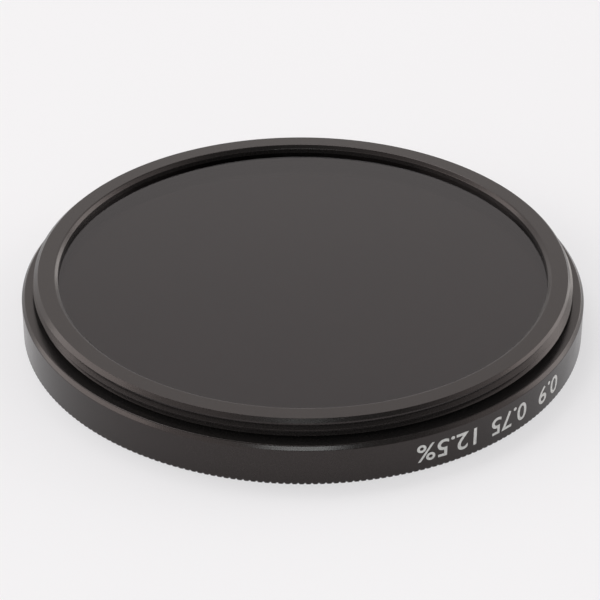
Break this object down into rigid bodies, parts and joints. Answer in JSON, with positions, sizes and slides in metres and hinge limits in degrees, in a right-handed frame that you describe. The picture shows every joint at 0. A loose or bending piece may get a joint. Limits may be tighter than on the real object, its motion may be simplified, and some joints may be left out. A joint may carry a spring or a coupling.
{
  "type": "lens filter",
  "caption": "Round screw-in camera lens filter: dark neutral glass held in a slim black ring with a male thread collar behind, a female thread in front and a knurled front edge.",
  "frame": {"origin": "on the optical axis, in the plane of the front face that the filter rests on", "axes": "+Z along the optical axis to the rear, out through the male thread"},
  "size_m": [0.0542, 0.0542, 0.006],
  "materials": {
    "black_anodised": "satin black anodised",
    "dark_glass": "polished neutral grey"
  },
  "bodies": {
    "root": {"filter_frame": "black_anodised", "neutral_density_glass": "dark_glass", "retaining_ring": "black_anodised"}
  },
  "joints": []
}
